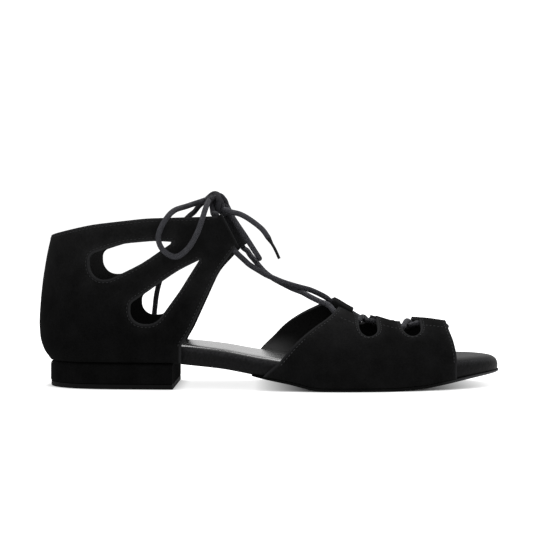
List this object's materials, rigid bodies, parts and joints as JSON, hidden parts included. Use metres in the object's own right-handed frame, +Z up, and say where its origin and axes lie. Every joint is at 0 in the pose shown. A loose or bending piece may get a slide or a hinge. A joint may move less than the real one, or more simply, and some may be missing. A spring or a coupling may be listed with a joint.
{
  "type": "dance sandal",
  "caption": "Flat lace-up dance sandal in black suede: closed cut-out heel with straps, open toe, vamp halves joined by a lace through folded tunnels, low covered heel.",
  "frame": {"origin": "on the floor under the middle of the sandal's box, measured without the free lace", "axes": "+X from heel to toe, +Y towards the inner side of the foot, +Z up"},
  "size_m": [0.2504, 0.0842, 0.1055],
  "materials": {
    "suede": "matt black suede nap",
    "wrap_leather": "black grained leather with a low sheen",
    "insole_leather": "smooth glossy black leather",
    "top_piece": "matt black",
    "braid": "dark grey round braid",
    "lace_tip": "smooth black"
  },
  "bodies": {
    "root": {"platform": "wrap_leather", "insole": "insole_leather", "outsole": "suede", "heel_block": "suede", "heel_top_piece": "top_piece", "quarter": "suede", "vamp_outer": "suede", "vamp_inner": "suede", "lace_toe_bar": "braid", "lace_cross_front": "braid", "lace_cross_middle": "braid", "lace_cross_instep": "braid", "lace_knot": "braid", "lace_loop_outer": "braid", "lace_loop_front": "braid", "lace_end_front": "braid", "lace_end_inner": "braid", "lace_tip_front": "lace_tip", "lace_tip_inner": "lace_tip"}
  },
  "joints": []
}
